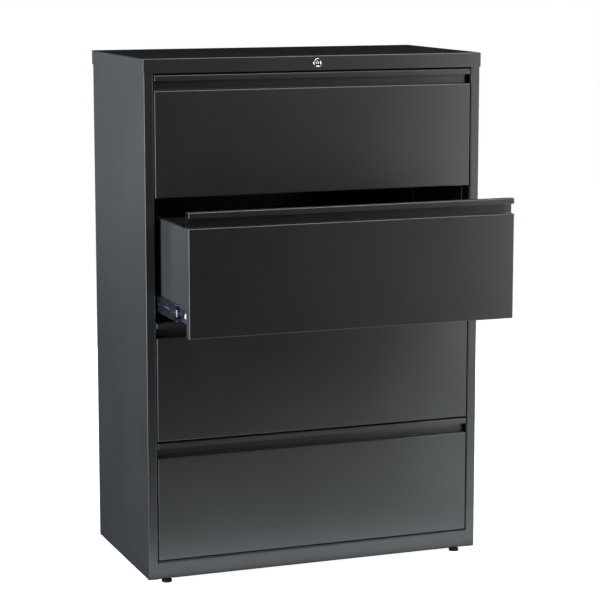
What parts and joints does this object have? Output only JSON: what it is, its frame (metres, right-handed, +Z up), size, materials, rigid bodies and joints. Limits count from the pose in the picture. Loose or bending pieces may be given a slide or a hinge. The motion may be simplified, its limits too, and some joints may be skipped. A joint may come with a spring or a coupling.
{
  "type": "lateral filing cabinet",
  "caption": "Metal lateral filing cabinet with wide full-width-pull drawers on telescopic slides, a top cover with a lock and levelling feet, one drawer open.",
  "frame": {"origin": "on the floor, at the centre of the rectangle of the four feet", "axes": "+Z up, +X to the right of someone facing the drawers, +Y to the back; the drawers open towards -Y"},
  "size_m": [0.9144, 0.7388, 1.3335],
  "materials": {
    "powder_coat": "charcoal semi-gloss powder coat, smooth with a fine orange peel",
    "zinc_steel": "bright zinc plated cold-rolled steel with a slight blue cast",
    "cage_steel": "thin stamped steel ball retainer",
    "lock_chrome": "polished chrome plate",
    "foot_black": "matt black moulded nylon on a zinc plated stud"
  },
  "bodies": {
    "case": {"left_panel": "powder_coat", "right_panel": "powder_coat", "back_panel": "powder_coat", "top_cover": "powder_coat", "front_base_rail": "powder_coat", "rear_base_rail": "powder_coat", "bottom_pan": "powder_coat", "lock_rail": "powder_coat", "slide_uprights": "powder_coat", "foot_nuts": "zinc_steel", "lock_housing": "lock_chrome", "bar_guides": "zinc_steel", "drawer_1_slide_outer": "zinc_steel", "drawer_2_slide_outer": "zinc_steel", "drawer_3_slide_outer": "zinc_steel", "drawer_4_slide_outer": "zinc_steel"},
    "drawer_1": {"drawer_1_front": "powder_coat", "drawer_1_left_side": "powder_coat", "drawer_1_right_side": "powder_coat", "drawer_1_back": "powder_coat", "drawer_1_bottom": "powder_coat", "drawer_1_hang_rails": "powder_coat", "drawer_1_slide_inner": "zinc_steel"},
    "drawer_1_middle_slides": {"drawer_1_slide_middle": "zinc_steel"},
    "drawer_1_ball_cages": {"drawer_1_ball_cages": "cage_steel"},
    "drawer_2": {"drawer_2_front": "powder_coat", "drawer_2_left_side": "powder_coat", "drawer_2_right_side": "powder_coat", "drawer_2_back": "powder_coat", "drawer_2_bottom": "powder_coat", "drawer_2_hang_rails": "powder_coat", "drawer_2_slide_inner": "zinc_steel"},
    "drawer_2_middle_slides": {"drawer_2_slide_middle": "zinc_steel"},
    "drawer_2_ball_cages": {"drawer_2_ball_cages": "cage_steel"},
    "drawer_3": {"drawer_3_front": "powder_coat", "drawer_3_left_side": "powder_coat", "drawer_3_right_side": "powder_coat", "drawer_3_back": "powder_coat", "drawer_3_bottom": "powder_coat", "drawer_3_hang_rails": "powder_coat", "drawer_3_slide_inner": "zinc_steel"},
    "drawer_3_middle_slides": {"drawer_3_slide_middle": "zinc_steel"},
    "drawer_3_ball_cages": {"drawer_3_ball_cages": "cage_steel"},
    "drawer_4": {"drawer_4_front": "powder_coat", "drawer_4_left_side": "powder_coat", "drawer_4_right_side": "powder_coat", "drawer_4_back": "powder_coat", "drawer_4_bottom": "powder_coat", "drawer_4_hang_rails": "powder_coat", "drawer_4_slide_inner": "zinc_steel"},
    "drawer_4_middle_slides": {"drawer_4_slide_middle": "zinc_steel"},
    "drawer_4_ball_cages": {"drawer_4_ball_cages": "cage_steel"},
    "foot_front_left": {"foot_front_left": "foot_black"},
    "foot_front_right": {"foot_front_right": "foot_black"},
    "foot_rear_left": {"foot_rear_left": "foot_black"},
    "foot_rear_right": {"foot_rear_right": "foot_black"},
    "lock_cylinder": {"lock_plug": "lock_chrome", "lock_cam": "zinc_steel"},
    "lock_link": {"lock_link": "zinc_steel"},
    "locking_bar": {"locking_bar": "zinc_steel"}
  },
  "joints": [
    {"name": "drawer_1_pull", "type": "slide", "parent": "case", "child": "drawer_1", "axis": [0, -1, 0], "range_m": [0, 0.4]},
    {"name": "drawer_1_middle_run", "type": "slide", "parent": "case", "child": "drawer_1_middle_slides", "axis": [0, -1, 0], "range_m": [0, 0.258]},
    {"name": "drawer_1_cage_run", "type": "slide", "parent": "case", "child": "drawer_1_ball_cages", "axis": [0, -1, 0], "range_m": [0, 0.329]},
    {"name": "drawer_2_pull", "type": "slide", "parent": "case", "child": "drawer_2", "axis": [0, -1, 0], "range_m": [-0.268, 0.132]},
    {"name": "drawer_2_middle_run", "type": "slide", "parent": "case", "child": "drawer_2_middle_slides", "axis": [0, -1, 0], "range_m": [-0.17286, 0.08514]},
    {"name": "drawer_2_cage_run", "type": "slide", "parent": "case", "child": "drawer_2_ball_cages", "axis": [0, -1, 0], "range_m": [-0.22043, 0.10857]},
    {"name": "drawer_3_pull", "type": "slide", "parent": "case", "child": "drawer_3", "axis": [0, -1, 0], "range_m": [0, 0.4]},
    {"name": "drawer_3_middle_run", "type": "slide", "parent": "case", "child": "drawer_3_middle_slides", "axis": [0, -1, 0], "range_m": [0, 0.258]},
    {"name": "drawer_3_cage_run", "type": "slide", "parent": "case", "child": "drawer_3_ball_cages", "axis": [0, -1, 0], "range_m": [0, 0.329]},
    {"name": "drawer_4_pull", "type": "slide", "parent": "case", "child": "drawer_4", "axis": [0, -1, 0], "range_m": [0, 0.4]},
    {"name": "drawer_4_middle_run", "type": "slide", "parent": "case", "child": "drawer_4_middle_slides", "axis": [0, -1, 0], "range_m": [0, 0.258]},
    {"name": "drawer_4_cage_run", "type": "slide", "parent": "case", "child": "drawer_4_ball_cages", "axis": [0, -1, 0], "range_m": [0, 0.329]},
    {"name": "foot_front_left_turn", "type": "hinge", "parent": "case", "child": "foot_front_left", "pos_m": [-0.403, -0.218, 0], "axis": [0, 0, 1], "range_deg": [-1080, 1080]},
    {"name": "foot_front_right_turn", "type": "hinge", "parent": "case", "child": "foot_front_right", "pos_m": [0.403, -0.218, 0], "axis": [0, 0, 1], "range_deg": [-1080, 1080]},
    {"name": "foot_rear_left_turn", "type": "hinge", "parent": "case", "child": "foot_rear_left", "pos_m": [-0.403, 0.218, 0], "axis": [0, 0, 1], "range_deg": [-1080, 1080]},
    {"name": "foot_rear_right_turn", "type": "hinge", "parent": "case", "child": "foot_rear_right", "pos_m": [0.403, 0.218, 0], "axis": [0, 0, 1], "range_deg": [-1080, 1080]},
    {"name": "locking_bar_lift", "type": "slide", "parent": "case", "child": "locking_bar", "axis": [0, 0, 1], "range_m": [0, 0.01414]},
    {"name": "lock_turn", "type": "hinge", "parent": "case", "child": "lock_cylinder", "pos_m": [0, -0.22, 1.315], "axis": [0, 1, 0], "range_deg": [0, 90]},
    {"name": "lock_link_run", "type": "slide", "parent": "case", "child": "lock_link", "axis": [-1, 0, 0], "range_m": [0, 0.01414]}
  ],
  "couplings": [
    {"joint": "drawer_1_middle_run", "follows": "drawer_1_pull", "ratio": 0.645},
    {"joint": "drawer_1_cage_run", "follows": "drawer_1_pull", "ratio": 0.8225},
    {"joint": "drawer_2_middle_run", "follows": "drawer_2_pull", "ratio": 0.645},
    {"joint": "drawer_2_cage_run", "follows": "drawer_2_pull", "ratio": 0.8225},
    {"joint": "drawer_3_middle_run", "follows": "drawer_3_pull", "ratio": 0.645},
    {"joint": "drawer_3_cage_run", "follows": "drawer_3_pull", "ratio": 0.8225},
    {"joint": "drawer_4_middle_run", "follows": "drawer_4_pull", "ratio": 0.645},
    {"joint": "drawer_4_cage_run", "follows": "drawer_4_pull", "ratio": 0.8225},
    {"joint": "lock_turn", "follows": "locking_bar_lift", "rad_per_m": 111.08},
    {"joint": "lock_link_run", "follows": "locking_bar_lift", "ratio": 1}
  ]
}
